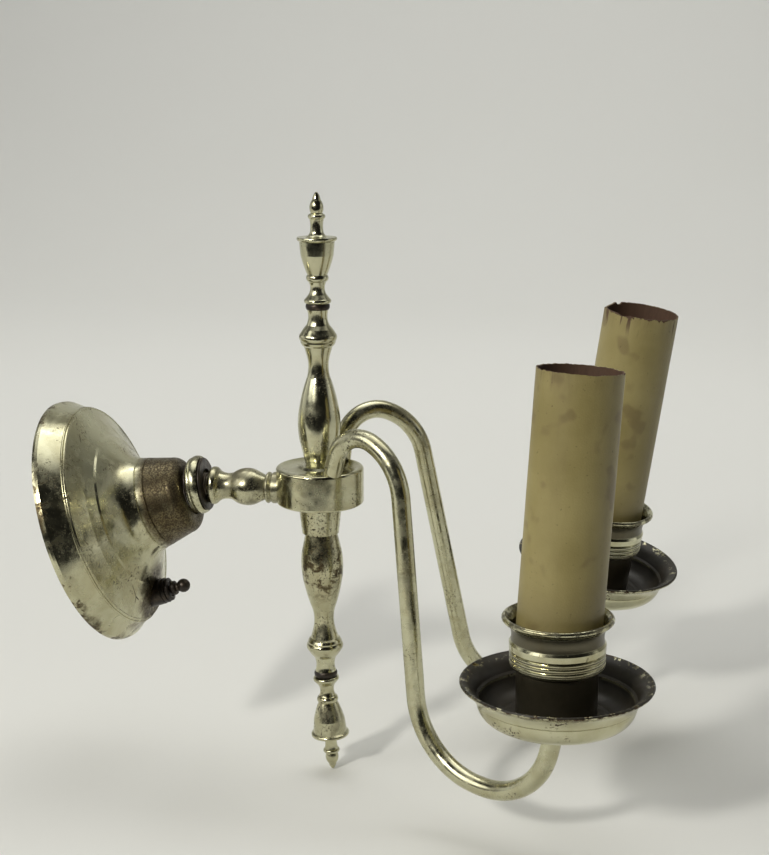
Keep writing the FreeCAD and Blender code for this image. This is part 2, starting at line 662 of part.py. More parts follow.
def cup(arm):
    """Candle cup: plain foot, three grooves, two beads and a rolled lip round the sleeve."""
    throat = SLEEVE_R + CUP_THROAT_GAP
    mouth = SLEEVE_R + CUP_MOUTH_GAP
    foot_r = throat - CUP_FOOT_STEP
    band = throat + CUP_BAND_THICK
    lip_r = throat + CUP_LIP_WIDTH
    foot = -PAN_DEPTH + PAN_WALL
    lip = CUP_LIP_HEIGHT
    outline = [(foot_r, foot), (foot_r, 5.0), (band - 0.5, 6.4)]
    for groove in (7.2, 9.0, 10.8):
        outline += [(band, groove), (band, groove + 1.0), (band - 0.45, groove + 1.4)]
    outline += [
        (band + 0.1, 13.0), (band + 0.2, 15.2), (band - 0.5, 16.2), (band - 0.5, 19.4, band + 0.6, 22.2),
        (lip_r - 0.7, 23.2), (lip_r + 0.35, lip - 0.9, lip_r - 0.9, lip),
        (mouth + 1.3, lip - 1.1), (mouth, lip - 3.4), (throat, CUP_FLOOR_HEIGHT),
        (CUP_NIPPLE_R, CUP_FLOOR_HEIGHT), (CUP_NIPPLE_R, CUP_FLOOR_HEIGHT - 1.6),
        (foot_r - CUP_WALL, CUP_FLOOR_HEIGHT - 1.6), (foot_r - CUP_WALL, foot)]
    return placed(turned(outline), *pan_frame(arm))


def cup_nipple(arm):
    """Threaded tube that clamps coupling, pan, cup and strap together."""
    middle, axis = pan_frame(arm)
    top = CUP_FLOOR_HEIGHT + STRAP_THICK + LOCKNUT_THICK + 0.8
    low = -PAN_DEPTH - NIPPLE_LAP
    nipple = tube(CUP_NIPPLE_R, CUP_NIPPLE_BORE, top - low, low)
    return placed(nipple, middle, axis).cut(swept(arm_route(arm), ARM_R))


def cup_locknut(arm):
    """Locknut on the strap's foot inside the cup."""
    middle, axis = pan_frame(arm)
    nut = hex_nut(LOCKNUT_FLATS, LOCKNUT_THICK, CUP_NIPPLE_R)
    return placed(nut, middle + axis * (CUP_FLOOR_HEIGHT + STRAP_THICK), axis)


def sleeve_base(arm):
    """Middle of the sleeve's bottom end: its low side stands on the cup's floor."""
    floor, axis = candle_frame(arm)
    slope = math.sin(axis.getAngle(pan_frame(arm)[1]))
    return floor + axis * (SLEEVE_R * slope + SLEEVE_GAP)


def socket_base(arm):
    """Middle of the lamp holder's bottom end."""
    axis = candle_frame(arm)[1]
    return sleeve_base(arm) + axis * (SLEEVE_LENGTH - SOCKET_BELOW_TOP - SOCKET_LENGTH)


def socket_strap(arm):
    """Bent strip from the cup's floor up to the lamp holder."""
    floor, axis = candle_frame(arm)
    cup_axis = pan_frame(arm)[1]
    foot = placed(tube(STRAP_FOOT_R, CUP_NIPPLE_R, STRAP_THICK), floor, cup_axis)
    height = (socket_base(arm) - floor).Length
    outer = STRAP_OFFSET + STRAP_THICK
    toe_start = CUP_NIPPLE_R + 0.6
    strips = [
        (STRAP_OFFSET, outer, 1.0, height),
        (toe_start, outer, 0.9, 0.9 + STRAP_THICK),
        (-outer, outer, height - STRAP_THICK, height),
    ]
    boxes = [Part.makeBox(right - left, STRAP_WIDTH, top - low, V(left, -STRAP_WIDTH / 2, low))
             for left, right, low, top in strips]
    eye = Part.makeCylinder(CONTACT_STEM_R, height)
    strip = placed(boxes[0].fuse(boxes[1:]).cut(eye), floor, axis)
    nut_room = Part.makeCylinder(LOCKNUT_FLATS * 0.6, LOCKNUT_THICK + 1.0)
    strip = strip.cut(placed(nut_room, floor + cup_axis * STRAP_THICK, cup_axis))
    return foot.fuse(strip).removeSplitter()


def socket_body(arm):
    """Insulating lamp holder body, open at the top."""
    outline = [
        (SOCKET_R - 1.0, 0), (SOCKET_R, 1.0), (SOCKET_R, SOCKET_LENGTH - 0.6),
        (SOCKET_R - 0.3, SOCKET_LENGTH),
        (SHELL_OUTER_R, SOCKET_LENGTH), (SHELL_OUTER_R, SOCKET_FLOOR), (CONTACT_STEM_R, SOCKET_FLOOR)]
    body = turned([(CONTACT_STEM_R, 0)] + outline)
    return placed(body, socket_base(arm), candle_frame(arm)[1])


def screw_shell(arm):
    """Brass shell that takes a medium lamp base."""
    base = SOCKET_LENGTH - SHELL_LENGTH - 2.0
    shell = tube(SHELL_OUTER_R, SHELL_BORE, SHELL_LENGTH, base)
    return placed(shell, socket_base(arm), candle_frame(arm)[1])


def centre_contact(arm):
    """Sprung contact disc on a rivet in the lamp holder's floor."""
    outline = [
        (0, 1.0), (CONTACT_STEM_R, 1.0), (CONTACT_STEM_R, SOCKET_FLOOR), (CONTACT_R, SOCKET_FLOOR),
        (CONTACT_R, SOCKET_FLOOR + CONTACT_THICK), (1.6, SOCKET_FLOOR + 2.2), (0, SOCKET_FLOOR + 2.4)]
    return placed(turned(outline), socket_base(arm), candle_frame(arm)[1])


def sleeve(arm):
    """Paper candle sleeve, loose round the lamp holder."""
    paper = tube(SLEEVE_R, SLEEVE_R - SLEEVE_WALL, SLEEVE_LENGTH)
    return placed(paper, sleeve_base(arm), candle_frame(arm)[1])


# ---------------------------------------------------------------- all nodes

os.makedirs("parts", exist_ok=True)

for make in (wall_crossbar, ground_screw, stem_nipple, nipple_locknut, stem_baluster,
             canopy_shell, switch_body, switch_nut, switch_knob, canopy_lock_ring, lock_ring_washers,
             hub_body, hub_bottom_cover, lower_collar):
    save(make.__name__, make())

for end in ("upper", "lower"):
    for make in (baluster, check_ring, urn, finial, spindle_rod):
        save("%s_%s" % (end, make.__name__), make(end))

for side_name, arm in ARMS.items():
    for make in (arm_tube, arm_coupling, lead, pan, cup, cup_nipple, cup_locknut, socket_strap,
                 socket_body, screw_shell, centre_contact, sleeve):
        save("%s_%s" % (side_name, make.__name__), make(arm))
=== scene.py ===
"""Looks for the two-arm electric wall sconce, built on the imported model.

Metres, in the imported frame: +Z up the spindle, -Y out from the wall.
"""
import bmesh
import bpy
import json
import math
from mathutils import Matrix, Vector, noise


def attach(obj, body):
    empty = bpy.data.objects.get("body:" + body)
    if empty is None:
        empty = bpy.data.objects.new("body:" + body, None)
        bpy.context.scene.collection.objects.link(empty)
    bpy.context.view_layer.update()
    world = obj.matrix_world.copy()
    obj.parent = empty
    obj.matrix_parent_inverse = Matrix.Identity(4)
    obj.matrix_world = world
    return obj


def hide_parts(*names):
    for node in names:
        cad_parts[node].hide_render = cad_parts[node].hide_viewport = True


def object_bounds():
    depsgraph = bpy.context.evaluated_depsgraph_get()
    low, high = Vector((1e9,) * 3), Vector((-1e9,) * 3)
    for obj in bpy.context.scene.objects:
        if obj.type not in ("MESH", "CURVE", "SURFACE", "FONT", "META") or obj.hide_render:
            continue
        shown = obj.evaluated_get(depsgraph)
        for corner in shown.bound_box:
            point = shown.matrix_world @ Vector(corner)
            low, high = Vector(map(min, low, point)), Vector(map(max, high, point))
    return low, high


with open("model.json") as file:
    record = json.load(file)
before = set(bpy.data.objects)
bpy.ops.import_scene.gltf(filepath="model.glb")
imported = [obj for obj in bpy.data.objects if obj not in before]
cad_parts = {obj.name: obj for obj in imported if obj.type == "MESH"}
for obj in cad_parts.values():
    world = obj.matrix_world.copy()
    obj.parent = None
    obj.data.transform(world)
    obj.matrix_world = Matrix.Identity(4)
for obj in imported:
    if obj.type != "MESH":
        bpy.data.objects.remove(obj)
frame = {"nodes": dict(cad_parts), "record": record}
CAD_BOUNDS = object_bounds()
MOUNTS = {m["name"]: m for m in frame["record"]["mounts"]}

DROOP = math.radians(17.8)
RIM_MIDDLE = (0, -0.00340, -0.01727)         # middle of the hanging canopy's rim
CANOPY_AXIS = (0, -math.cos(DROOP), math.sin(DROOP))
SWITCH_FOOT = (-0.002, -0.0290, -0.0485)     # where the switch's nut meets the canopy
SLEEVE_R = 0.015875
SLEEVE_LENGTH = 0.1016
SHELL_TO_SLEEVE_BASE = 0.0776      # middle of the lamp socket down to the sleeve's foot
PAPER_UNDERSIZE = 0.00008          # drawn sleeve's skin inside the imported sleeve's
PAPER_THICKNESS = 0.0008
CHIP_START = 0.09                  # height above which chips pull the sleeve's top down
THREAD_PITCH = 0.00094
GROOVE_PITCH = 0.0018
FLOOR_FRONT = -0.42                # floor's near edge, along X
FLOOR_HALF_WIDTH = 6.0
FLOOR_GAP = 0.0002                 # floor below the lowest point
SWEEP_START = 1.3
SWEEP_RADIUS = 1.4
SWEEP_STEPS = 32
WALL_HEIGHT = 3.0                  # back wall above the sweep
LAMP_DISTANCE = 1.5                # key lamp from the focus


# ---------------------------------------------------------------- material building

class Graph:
    """Short way to write a material's nodes."""

    def __init__(self, name):
        self.mat = bpy.data.materials.new(name)
        self.mat.use_nodes = True
        self.tree = self.mat.node_tree
        self.tree.nodes.clear()
        self.bsdf = self.node("ShaderNodeBsdfPrincipled")
        out = self.node("ShaderNodeOutputMaterial")
        self.tree.links.new(self.bsdf.outputs[0], out.inputs[0])
        self.place = self.node("ShaderNodeTexCoord").outputs["Object"]

    def node(self, kind, **settings):
        made = self.tree.nodes.new(kind)
        for key, value in settings.items():
            setattr(made, key, value)
        return made

    def put(self, socket, value):
        if isinstance(value, bpy.types.NodeSocket):
            self.tree.links.new(value, socket)
        elif isinstance(value, tuple) and len(value) == 3 and socket.type == "RGBA":
            socket.default_value = (*value, 1)
        else:
            socket.default_value = value

    def math(self, kind, a, b=0.0, clamp=False):
        made = self.node("ShaderNodeMath", operation=kind, use_clamp=clamp)
        self.put(made.inputs[0], a)
        self.put(made.inputs[1], b)
        return made.outputs[0]

    def scaled(self, factors, source=None):
        made = self.node("ShaderNodeVectorMath", operation="MULTIPLY")
        self.put(made.inputs[0], source or self.place)
        made.inputs[1].default_value = factors
        return made.outputs[0]

    def noise(self, scale, detail=3.0, rough=0.55, source=None, warp=0.0):
        made = self.node("ShaderNodeTexNoise")
        self.put(made.inputs["Vector"], source or self.place)
        made.inputs["Scale"].default_value = scale
        made.inputs["Detail"].default_value = detail
        made.inputs["Roughness"].default_value = rough
        made.inputs["Distortion"].default_value = warp
        return made.outputs["Fac"]

    def cells(self, scale, feature="F1", source=None):
        made = self.node("ShaderNodeTexVoronoi", feature=feature)
        self.put(made.inputs["Vector"], source or self.place)
        made.inputs["Scale"].default_value = scale
        return made.outputs["Distance"]

    def step(self, value, low, high, to_low=0.0, to_high=1.0):
        made = self.node("ShaderNodeMapRange", interpolation_type="SMOOTHSTEP")
        self.put(made.inputs["Value"], value)
        made.inputs["From Min"].default_value = low
        made.inputs["From Max"].default_value = high
        made.inputs["To Min"].default_value = to_low
        made.inputs["To Max"].default_value = to_high
        return made.outputs[0]

    def mix(self, share, a, b):
        made = self.node("ShaderNodeMix", data_type="RGBA")
        self.put(made.inputs["Factor"], share)
        self.put(made.inputs[6], a)
        self.put(made.inputs[7], b)
        return made.outputs[2]

    def along(self, origin, axis, source=None):
        """Distance along an axis from an origin."""
        shifted = self.node("ShaderNodeVectorMath", operation="SUBTRACT")
        self.put(shifted.inputs[0], source or self.place)
        shifted.inputs[1].default_value = origin
        dot = self.node("ShaderNodeVectorMath", operation="DOT_PRODUCT")
        self.put(dot.inputs[0], shifted.outputs[0])
        dot.inputs[1].default_value = axis
        return dot.outputs["Value"]

    def near(self, centre, inner, outer):
        """1 inside a ball, fading to 0 outside it."""
        made = self.node("ShaderNodeVectorMath", operation="DISTANCE")
        self.put(made.inputs[0], self.place)
        made.inputs[1].default_value = centre
        return self.step(made.outputs["Value"], inner, outer, 1.0, 0.0)

    def upward(self, low, high):
        geometry = self.node("ShaderNodeNewGeometry")
        split = self.node("ShaderNodeSeparateXYZ")
        self.put(split.inputs[0], geometry.outputs["Normal"])
        return self.step(split.outputs["Z"], low, high)

    def height_bump(self, height, distance, strength=1.0):
        made = self.node("ShaderNodeBump")
        made.inputs["Strength"].default_value = strength
        made.inputs["Distance"].default_value = distance
        self.put(made.inputs["Height"], height)
        return made.outputs[0]

    def finish(self, colour, rough, metal, bump=None, **fixed):
        self.put(self.bsdf.inputs["Base Color"], colour)
        self.put(self.bsdf.inputs["Roughness"], rough)
        self.put(self.bsdf.inputs["Metallic"], metal)
        if bump is not None:
            self.put(self.bsdf.inputs["Normal"], bump)
        for key, value in fixed.items():
            self.bsdf.inputs[key].default_value = value
        return self.mat


PLATE = (0.59, 0.575, 0.40)
PLATE_WARM = (0.30, 0.255, 0.118)
BRONZE = (0.14, 0.098, 0.032)
SOOT = (0.022, 0.017, 0.012)


def plated(name, brown=0.35, spots=0.5, extra=None, rough=0.17):
    """Worn silver plate: warm film, brown blooms, black speckle clusters and hairlines.

    extra(graph) may return a further mask of heavy tarnish, 0 to 1."""
    g = Graph(name)
    film = g.step(g.noise(55, 4, 0.6, warp=0.6), 0.35, 0.75)
    colour = g.mix(g.math("MULTIPLY", film, 0.55), PLATE, PLATE_WARM)
    streaks = g.noise(160, 5, 0.7, source=g.scaled((1, 1, 0.35)))
    colour = g.mix(g.step(streaks, 0.55, 0.8, 0, 0.35), colour, PLATE_WARM)

    bloom_shape = g.noise(38, 6, 0.68, warp=0.8)
    bloom = g.step(bloom_shape, 0.66 - 0.18 * brown, 0.78 - 0.14 * brown)
    cluster = g.step(g.noise(70, 3, 0.6), 0.60 - 0.16 * spots, 0.74 - 0.12 * spots)
    dots = g.step(g.noise(1100, 3, 0.65), 0.56, 0.62)
    pits = g.step(g.cells(620), 0.10, 0.17, 1.0, 0.0)
    speck = g.math("MULTIPLY", cluster, g.math("MAXIMUM", dots, pits), True)
    dark = g.math("MAXIMUM", speck, g.math("MULTIPLY", bloom, 0.6))
    if extra:
        heavy = extra(g)
        crust = g.step(g.noise(1300, 4, 0.7), 0.40, 0.56)
        crusted = g.math("ADD", 0.30, g.math("MULTIPLY", crust, 0.65))
        dark = g.math("MAXIMUM", dark, g.math("MULTIPLY", heavy, crusted))
        colour = g.mix(g.math("MULTIPLY", heavy, 0.8), colour, BRONZE)
    tarnish = g.mix(g.noise(300, 3), SOOT, (0.060, 0.038, 0.015))
    colour = g.mix(dark, colour, tarnish)

    hair = g.noise(900, 2, 0.5, source=g.scaled((1, 1, 0.06)))
    worn = g.step(g.noise(210, 4, 0.6), 0.3, 0.7, rough - 0.05, rough + 0.12)
    roughness = g.math("ADD", worn, g.math("MULTIPLY", dark, 0.30), True)
    metal = g.math("SUBTRACT", 1.0, g.math("MULTIPLY", dark, 0.35), True)
    relief = g.math("ADD", g.noise(95, 2), g.math("MULTIPLY", hair, 0.03))
    relief = g.math("SUBTRACT", relief, g.math("MULTIPLY", dark, 0.06))
    return g.finish(colour, roughness, metal, g.height_bump(relief, 0.0010, 0.12))


def canopy_tarnish(g):
    """Neck, switch surround, rim edge and a few veins on the bell."""
    along = g.along(RIM_MIDDLE, CANOPY_AXIS)
    ragged = g.math("ADD", along, g.math("MULTIPLY", g.math("SUBTRACT", g.noise(90, 4), 0.5), 0.012))
    neck = g.step(ragged, 0.0270, 0.0325)
    neck = g.math("MULTIPLY", neck, g.step(g.noise(150, 4, 0.65), 0.25, 0.5, 0.78, 1.0))
    rim = g.step(ragged, 0.0010, 0.0045, 1.0, 0.0)
    rim = g.math("MULTIPLY", rim, g.step(g.noise(95, 5, 0.7), 0.50, 0.58))
    switch = g.math("MULTIPLY", g.near(SWITCH_FOOT, 0.008, 0.019), g.step(g.noise(120, 4, 0.6), 0.36, 0.52))
    veins = g.step(g.cells(62, "DISTANCE_TO_EDGE", source=g.scaled((1, 1, 0.6))), 0.004, 0.013, 1.0, 0.0)
    veins = g.math("MULTIPLY", veins, g.step(g.noise(50, 4), 0.56, 0.61))
    low = g.math("MULTIPLY", g.step(g.along((0, 0, -0.045), (0, 0, -1)), -0.012, 0.022),
                 g.step(g.noise(75, 5, 0.65), 0.50, 0.64))
    return g.math("MAXIMUM", g.math("MAXIMUM", neck, rim),
                  g.math("MAXIMUM", g.math("MAXIMUM", switch, veins), g.math("MULTIPLY", low, 0.6)), True)


def vase_tarnish(g):
    """Cluster of black spots on the lower vase."""
    patch = g.near((-0.006, -0.1035, -0.032), 0.006, 0.017)
    return g.math("MULTIPLY", patch, g.step(g.noise(240, 5, 0.7), 0.5, 0.6))


def pan_material(name, middle, axis):
    """Dark burnt inside, worn mottled rim, pale plate outside."""
    g = Graph(name)
    height = g.along(middle, axis)
    inside = g.upward(-0.02, 0.22)
    mottle = g.noise(240, 5, 0.7)
    rim = g.step(height, -0.0017, -0.0003)
    worn = g.math("MULTIPLY", rim, g.step(mottle, 0.52, 0.60))
    plate = g.mix(g.step(g.noise(60, 4), 0.35, 0.7, 0, 0.5), PLATE, PLATE_WARM)
    spots = g.math("MULTIPLY", g.step(g.noise(75, 3), 0.56, 0.66), g.step(g.noise(950, 2), 0.54, 0.6))
    edge = g.math("MULTIPLY", g.step(height, -0.004, -0.0012), g.step(g.noise(330, 4, 0.7), 0.44, 0.58))
    plate = g.mix(g.math("MAXIMUM", spots, edge), plate, (0.06, 0.035, 0.02))
    burnt = g.mix(g.noise(130, 4), (0.010, 0.009, 0.006), (0.036, 0.029, 0.018))
    colour = g.mix(g.math("MULTIPLY", inside, g.math("SUBTRACT", 1.0, worn)), plate, burnt)
    black = g.math("MULTIPLY", inside, g.math("SUBTRACT", 1.0, worn))
    rough = g.math("ADD", 0.17, g.math("MULTIPLY", black, 0.26))
    metal = g.math("SUBTRACT", 1.0, g.math("MULTIPLY", black, 0.75))
    relief = g.math("ADD", g.noise(90, 2), g.math("MULTIPLY", mottle, 0.08))
    return g.finish(colour, rough, metal, g.height_bump(relief, 0.0010, 0.35))


def cup_material(name, middle, axis):
    """Bands of the cup: bright beads, dark hollows and grooves, and a foot darkened with a painted reflection
    of the dark pan.
    """
    g = Graph(name)
    height = g.along(middle, axis)
    plate = g.mix(g.step(g.noise(70, 4), 0.35, 0.7, 0, 0.6), PLATE, PLATE_WARM)
    # painted reflection: the cup's foot is darkened to stand for the dark pan it reflects
    foot = g.step(height, 0.0052, 0.0066, 1.0, 0.0)
    hollow = g.math("MULTIPLY", g.step(height, 0.0158, 0.0166), g.step(height, 0.0212, 0.0222, 1.0, 0.0))
    mottle = g.noise(230, 5, 0.7)
    dark = g.math("MAXIMUM", g.math("MULTIPLY", foot, 0.92), g.math("MULTIPLY", hollow, 0.85))
    grooves = g.math("MULTIPLY", g.step(height, 0.0068, 0.0074), g.step(height, 0.0122, 0.0130, 1.0, 0.0))
    wave = g.math("SINE", g.math("MULTIPLY", height, 2 * math.pi / GROOVE_PITCH))
    line = g.math("MULTIPLY", grooves, g.step(wave, 0.15, 0.85))
    lip = g.math("MULTIPLY", g.step(height, 0.0225, 0.0235), g.step(mottle, 0.45, 0.58))
    marks = g.math("MAXIMUM", g.math("MULTIPLY", line, 0.8), g.math("MULTIPLY", lip, 0.75))
    dark = g.math("MAXIMUM", dark, marks)
    dark = g.math("MAXIMUM", dark, g.step(mottle, 0.62, 0.70, 0, 0.7), True)
    # brown colours the tarnish mottle, the hollows and grooves, and the painted reflection on the foot
    brown = g.mix(mottle, (0.020, 0.017, 0.010), (0.060, 0.044, 0.026))
    colour = g.mix(dark, plate, brown)
    rough = g.math("ADD", 0.18, g.math("MULTIPLY", dark, 0.16))
    metal = g.math("SUBTRACT", 1.0, g.math("MULTIPLY", dark, 0.25))
    return g.finish(colour, rough, metal, g.height_bump(g.noise(120, 3), 0.0008, 0.3))


def oxidised(name, base=(0.028, 0.022, 0.017), light=(0.10, 0.075, 0.05)):
    """Blackened brass with a slight sheen and brown bloom."""
    g = Graph(name)
    patch = g.step(g.noise(260, 5, 0.7), 0.45, 0.72)
    colour = g.mix(patch, base, light)
    rough = g.step(g.noise(500, 3), 0.3, 0.7, 0.28, 0.5)
    relief = g.noise(1200, 3, 0.6)
    return g.finish(colour, rough, 0.55, g.height_bump(relief, 0.0003, 0.35))


def rusted(name):
    """Dull steel with brown stain."""
    g = Graph(name)
    stain = g.step(g.noise(130, 6, 0.7, warp=0.5), 0.36, 0.62)
    colour = g.mix(stain, (0.34, 0.29, 0.24), (0.11, 0.055, 0.028))
    speck = g.step(g.noise(1400, 2), 0.58, 0.66)
    colour = g.mix(g.math("MULTIPLY", speck, 0.6), colour, (0.03, 0.018, 0.012))
    rough = g.math("ADD", 0.38, g.math("MULTIPLY", stain, 0.32))
    metal = g.math("SUBTRACT", 0.95, g.math("MULTIPLY", stain, 0.6))
    return g.finish(colour, rough, metal, g.height_bump(g.noise(700, 5, 0.7), 0.0004, 0.5))


def threaded(name, steel_colour, axis_index):
    """Plain rod that reads as a fine thread through its relief."""
    g = Graph(name)
    split = g.node("ShaderNodeSeparateXYZ")
    g.put(split.inputs[0], g.place)
    ridge = g.math("SINE", g.math("MULTIPLY", split.outputs[axis_index], 2 * math.pi / THREAD_PITCH))
    grime = g.step(g.noise(300, 4, 0.7), 0.4, 0.7)
    valley = g.step(ridge, -0.2, -0.9, 0.0, 0.8)
    colour = g.mix(g.math("MAXIMUM", grime, valley), steel_colour, (0.07, 0.045, 0.028))
    return g.finish(colour, 0.36, 0.85, g.height_bump(ridge, 0.00035, 0.8))


def moulded(name, base, glint=0.4, grain=900):
    """Phenolic or insulation: satin with fine grain and a dusty bloom."""
    g = Graph(name)
    dust = g.step(g.noise(90, 4), 0.4, 0.75, 0, 0.3)
    colour = g.mix(dust, base, tuple(min(1, c * 2.2 + 0.03) for c in base))
    rough = g.step(g.noise(250, 3), 0.3, 0.7, glint, glint + 0.2)
    return g.finish(colour, rough, 0.0, g.height_bump(g.noise(grain, 3), 0.0003, 0.4))


def brass(name):
    g = Graph(name)
    stain = g.step(g.noise(160, 5, 0.65), 0.4, 0.7)
    colour = g.mix(stain, (0.66, 0.48, 0.20), (0.26, 0.16, 0.07))
    return g.finish(colour, g.math("ADD", 0.24, g.math("MULTIPLY", stain, 0.2)), 1.0,
                    g.height_bump(g.noise(260, 3), 0.0004, 0.3))


def sleeve_material(name, chip, drips, seed):
    """Painted paper: olive cream coat, soft stains, brown core where the paint has gone.

    chip is the depth in metres to which the paint peels at the top; drips is the share
    of brown in the runs below it; seed moves the pattern."""
    g = Graph(name)
    offset = g.node("ShaderNodeVectorMath", operation="ADD")
    g.put(offset.inputs[0], g.place)
    offset.inputs[1].default_value = (seed, 2 * seed, 0.3 * seed)
    moved = offset.outputs[0]
    split = g.node("ShaderNodeSeparateXYZ")
    g.put(split.inputs[0], g.place)
    height = split.outputs["Z"]
    radial = g.node("ShaderNodeVectorMath", operation="LENGTH")
    g.put(radial.inputs[0], g.scaled((1, 1, 0)))
    radius = radial.outputs["Value"]

    cream = g.mix(g.step(g.noise(28, 4, 0.6, moved), 0.3, 0.7), (0.245, 0.200, 0.070), (0.325, 0.272, 0.110))
    wash = g.noise(60, 5, 0.7, g.scaled((1, 1, 0.18), moved), 0.4)
    cream = g.mix(g.step(wash, 0.5, 0.78, 0, 0.6), cream, (0.20, 0.155, 0.055))
    flecks = g.step(g.noise(700, 3, 0.6, moved), 0.66, 0.72, 0, 0.55)
    cream = g.mix(flecks, cream, (0.09, 0.06, 0.022))
    blot = g.step(g.noise(85, 2, 0.4, moved), 0.58, 0.68, 0, 0.42)
    cream = g.mix(blot, cream, (0.12, 0.075, 0.03))
    top_stain = g.step(height, SLEEVE_LENGTH - 0.012, SLEEVE_LENGTH, 0, 0.45)
    cream = g.mix(g.math("MULTIPLY", top_stain, g.step(wash, 0.4, 0.65)), cream, (0.12, 0.08, 0.03))
    # darker towards the bottom of the sleeve
    darker_towards_bottom = g.step(height, 0.012, 0.030, 0.35, 0)
    cream = g.mix(darker_towards_bottom, cream, (0.13, 0.10, 0.038))

    ragged = g.math("ADD", height, g.math("MULTIPLY", g.noise(170, 5, 0.75, moved), chip))
    peeled = g.step(ragged, SLEEVE_LENGTH + 0.40 * chip, SLEEVE_LENGTH + 0.46 * chip)
    runs = g.noise(330, 3, 0.5, g.scaled((1, 1, 0.09), moved))
    run_zone = g.step(height, SLEEVE_LENGTH - 0.010, SLEEVE_LENGTH - 0.002)
    run = g.math("MULTIPLY", run_zone, g.step(runs, 0.62, 0.66))
    bare = g.math("MAXIMUM", peeled, g.math("MULTIPLY", run, drips), True)
    inside = g.step(radius, SLEEVE_R - 0.0006, SLEEVE_R - 0.0003, 1.0, 0.0)
    bare = g.math("MAXIMUM", bare, inside, True)
    fibre = g.noise(260, 5, 0.7, g.scaled((1, 1, 0.25), moved))
    kraft = g.mix(fibre, (0.040, 0.020, 0.012), (0.130, 0.070, 0.038))
    colour = g.mix(bare, cream, kraft)
    rough = g.math("ADD", 0.46, g.math("MULTIPLY", bare, 0.35), True)
    brushed = g.noise(420, 3, 0.5, g.scaled((1, 1, 0.05), moved))
    relief = g.math("ADD", g.math("MULTIPLY", brushed, 0.35), g.noise(1500, 3))
    relief = g.math("SUBTRACT", relief, g.math("MULTIPLY", bare, 1.0))
    return g.finish(colour, rough, 0.0, g.height_bump(relief, 0.00022, 0.5))


# ---------------------------------------------------------------- materials onto the frame

def dress(node, material):
    """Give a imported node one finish."""
    mesh = frame["nodes"][node].data
    mesh.materials.clear()
    mesh.materials.append(material)


def holder_frame(side):
    """Lamp holder's axis and the middle of the sleeve's foot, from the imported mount."""
    mount = MOUNTS[side + "_lamp_socket"]
    axis = Vector(mount["axis"]).normalized()
    return Vector(mount["pos_m"]) - axis * SHELL_TO_SLEEVE_BASE, axis


def leaned(lean_x, lean_y):
    """Direction that leans from +Z by two angles in degrees."""
    return Vector((math.tan(math.radians(lean_x)), math.tan(math.radians(lean_y)), 1))


# Middle of each pan's rim plane, and the pan's axis.
PAN_FRAMES = {
    "left": ((-0.0676, -0.2029, -0.0507), leaned(1.2, 0.3)),
    "right": ((0.0676, -0.2152, -0.0453), leaned(-4.7, -7.9)),
}

plain_plate = plated("silver_plate")
arm_plate = plated("silver_plate_arms", brown=0.55, spots=0.45, rough=0.20)
stem_plate = plated("silver_plate_stem", brown=1.2, spots=1.0, rough=0.2)
lower_plate = plated("silver_plate_lower", brown=0.45, spots=1.15, extra=vase_tarnish)
black_brass = oxidised("blackened_brass")
steel = rusted("stained_steel")

SAME = {
    plain_plate: ("upper_baluster", "upper_urn", "upper_finial", "hub_body", "hub_bottom_cover"),
    lower_plate: ("lower_collar", "lower_baluster", "lower_urn", "lower_finial"),
    stem_plate: ("stem_baluster", "canopy_lock_ring"),
    arm_plate: ("left_arm_tube", "right_arm_tube", "left_arm_coupling", "right_arm_coupling"),
    black_brass: ("upper_check_ring", "lower_check_ring", "lock_ring_washers", "switch_nut", "switch_knob"),
    steel: ("wall_crossbar", "nipple_locknut", "left_cup_locknut", "right_cup_locknut",
            "left_socket_strap", "right_socket_strap"),
    threaded("threaded_steel_stem", (0.42, 0.37, 0.30), 1): ("stem_nipple",),
    threaded("threaded_steel_upright", (0.42, 0.37, 0.30), 2): (
        "left_cup_nipple", "right_cup_nipple", "upper_spindle_rod", "lower_spindle_rod"),
    moulded("green_screw", (0.05, 0.16, 0.07), 0.35): ("ground_screw",),
    moulded("phenolic", (0.045, 0.033, 0.026), 0.3): ("left_socket_body", "right_socket_body", "switch_body"),
    moulded("lead_insulation", (0.07, 0.06, 0.05), 0.6, 2600): ("left_lead", "right_lead"),
    brass("bare_brass"): (
        "left_screw_shell", "right_screw_shell", "left_centre_contact", "right_centre_contact"),
}
for material, nodes in SAME.items():
    for node in nodes:
        dress(node, material)
dress("canopy_shell", plated("silver_plate_canopy", brown=0.5, spots=0.7, extra=canopy_tarnish, rough=0.19))
for side, (middle, lean) in PAN_FRAMES.items():
    lean = tuple(lean.normalized())
    dress(side + "_pan", pan_material("pan_" + side, middle, lean))
    dress(side + "_cup", cup_material("cup_" + side, middle, lean))


# ---------------------------------------------------------------- paper sleeves

